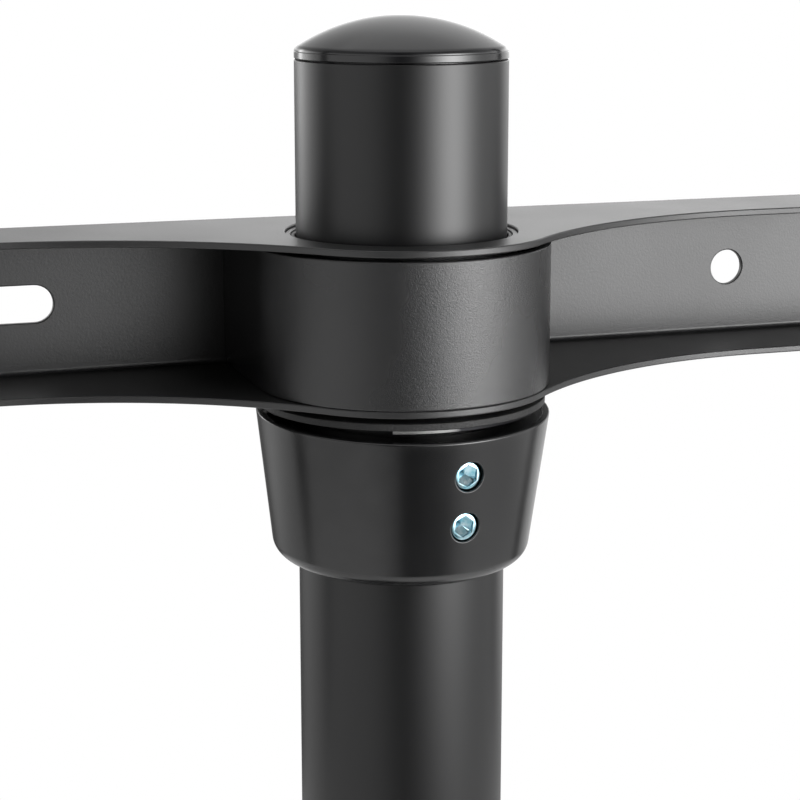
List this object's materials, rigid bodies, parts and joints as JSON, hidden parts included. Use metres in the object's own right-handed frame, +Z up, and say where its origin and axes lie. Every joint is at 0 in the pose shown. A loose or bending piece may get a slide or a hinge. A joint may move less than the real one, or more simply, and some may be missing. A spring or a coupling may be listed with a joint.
{
  "type": "television floor stand",
  "caption": "Free-standing television stand: round pole on a base plate, height-adjustable turning crossbar on a stop collar, tilting screen rails and a swivel shelf.",
  "frame": {"origin": "centre of the stand on the floor, under the pole", "axes": "+Z up along the pole, +Y towards the side the screen hangs on, +X to the right when the screen side is away from the viewer"},
  "size_m": [0.7, 0.5, 1.3724],
  "materials": {
    "powder_coat": "fine-grained satin powder coat",
    "pole_paint": "smooth satin paint",
    "collar_paint": "smooth satin paint",
    "cap_plastic": "satin moulded plastic",
    "washer_plastic": "fine-grained",
    "ring_steel": "bright",
    "screw_zinc": "blue zinc plate",
    "zinc_steel": "zinc plate",
    "foot_rubber": "matt",
    "shelf_glass": "black-backed toughened glass"
  },
  "bodies": {
    "root": {"base_plate": "powder_coat", "pole_plate": "powder_coat", "pole_bolts": "zinc_steel", "pole_bolt_washers": "zinc_steel", "pole_bolt_nuts": "zinc_steel", "foot_cover": "cap_plastic", "pole": "pole_paint", "pole_cap": "cap_plastic"},
    "foot_fl": {"foot_front_left": "foot_rubber"},
    "foot_fr": {"foot_front_right": "foot_rubber"},
    "foot_rl": {"foot_rear_left": "foot_rubber"},
    "foot_rr": {"foot_rear_right": "foot_rubber"},
    "collar": {"stop_collar": "collar_paint", "friction_washer": "washer_plastic", "snap_ring": "ring_steel"},
    "upper_screw": {"set_screw_upper": "screw_zinc"},
    "lower_screw": {"set_screw_lower": "screw_zinc"},
    "bracket": {"crossbar": "powder_coat", "pole_sleeve": "powder_coat", "bearing_tube": "powder_coat", "upper_bush": "washer_plastic", "lower_bush": "washer_plastic", "hinge_plate_left": "powder_coat", "hinge_plate_right": "powder_coat", "hinge_plate_bolts": "zinc_steel", "hinge_plate_washers": "zinc_steel", "hinge_plate_nuts": "zinc_steel", "tilt_pivot_left": "zinc_steel", "tilt_pivot_right": "zinc_steel", "tilt_lock_left": "zinc_steel", "tilt_lock_right": "zinc_steel"},
    "rail_left": {"screen_rail_left": "powder_coat", "rail_pads_left": "foot_rubber"},
    "rail_right": {"screen_rail_right": "powder_coat", "rail_pads_right": "foot_rubber"},
    "shelf_stop": {"shelf_collar": "collar_paint", "shelf_washer": "washer_plastic"},
    "shelf_upper_screw": {"shelf_screw_upper": "screw_zinc"},
    "shelf_lower_screw": {"shelf_screw_lower": "screw_zinc"},
    "shelf": {"shelf_sleeve": "powder_coat", "shelf_arm_left": "powder_coat", "shelf_arm_right": "powder_coat", "shelf_bar_rear": "powder_coat", "shelf_bar_front": "powder_coat", "shelf_pads": "foot_rubber", "shelf_panel": "shelf_glass"}
  },
  "joints": [
    {"name": "foot_front_left_level", "type": "slide", "parent": "root", "child": "foot_fl", "axis": [0, 0, -1], "range_m": [0, 0.005]},
    {"name": "foot_front_right_level", "type": "slide", "parent": "root", "child": "foot_fr", "axis": [0, 0, -1], "range_m": [0, 0.005]},
    {"name": "foot_rear_left_level", "type": "slide", "parent": "root", "child": "foot_rl", "axis": [0, 0, -1], "range_m": [0, 0.005]},
    {"name": "foot_rear_right_level", "type": "slide", "parent": "root", "child": "foot_rr", "axis": [0, 0, -1], "range_m": [0, 0.005]},
    {"name": "bracket_height", "type": "slide", "parent": "root", "child": "collar", "axis": [0, 0, 1], "range_m": [-0.3, 0.04]},
    {"name": "upper_screw_travel", "type": "slide", "parent": "collar", "child": "upper_screw", "axis": [0.1477, -0.9884, -0.0349], "range_m": [0, 0.004]},
    {"name": "lower_screw_travel", "type": "slide", "parent": "collar", "child": "lower_screw", "axis": [0.1477, -0.9884, -0.0349], "range_m": [0, 0.004]},
    {"name": "bracket_swivel", "type": "hinge", "parent": "collar", "child": "bracket", "pos_m": [0, 0, 1.14745], "axis": [0, 0, 1], "continuous": true},
    {"name": "tilt_left", "type": "hinge", "parent": "bracket", "child": "rail_left", "pos_m": [-0.3, 0.0725, 1.14745], "axis": [1, 0, 0], "range_deg": [-12, 5]},
    {"name": "tilt_right", "type": "hinge", "parent": "bracket", "child": "rail_right", "pos_m": [0.3, 0.0725, 1.14745], "axis": [1, 0, 0], "range_deg": [-12, 5]},
    {"name": "shelf_height", "type": "slide", "parent": "root", "child": "shelf_stop", "axis": [0, 0, 1], "range_m": [-0.25, 0.1]},
    {"name": "shelf_upper_screw_travel", "type": "slide", "parent": "shelf_stop", "child": "shelf_upper_screw", "axis": [0, -1, 0], "range_m": [0, 0.004]},
    {"name": "shelf_lower_screw_travel", "type": "slide", "parent": "shelf_stop", "child": "shelf_lower_screw", "axis": [0, -1, 0], "range_m": [0, 0.004]},
    {"name": "shelf_swivel", "type": "hinge", "parent": "shelf_stop", "child": "shelf", "pos_m": [0, 0, 0.46], "axis": [0, 0, 1], "continuous": true}
  ],
  "couplings": [
    {"joint": "tilt_left", "follows": "tilt_right", "ratio": 1}
  ]
}
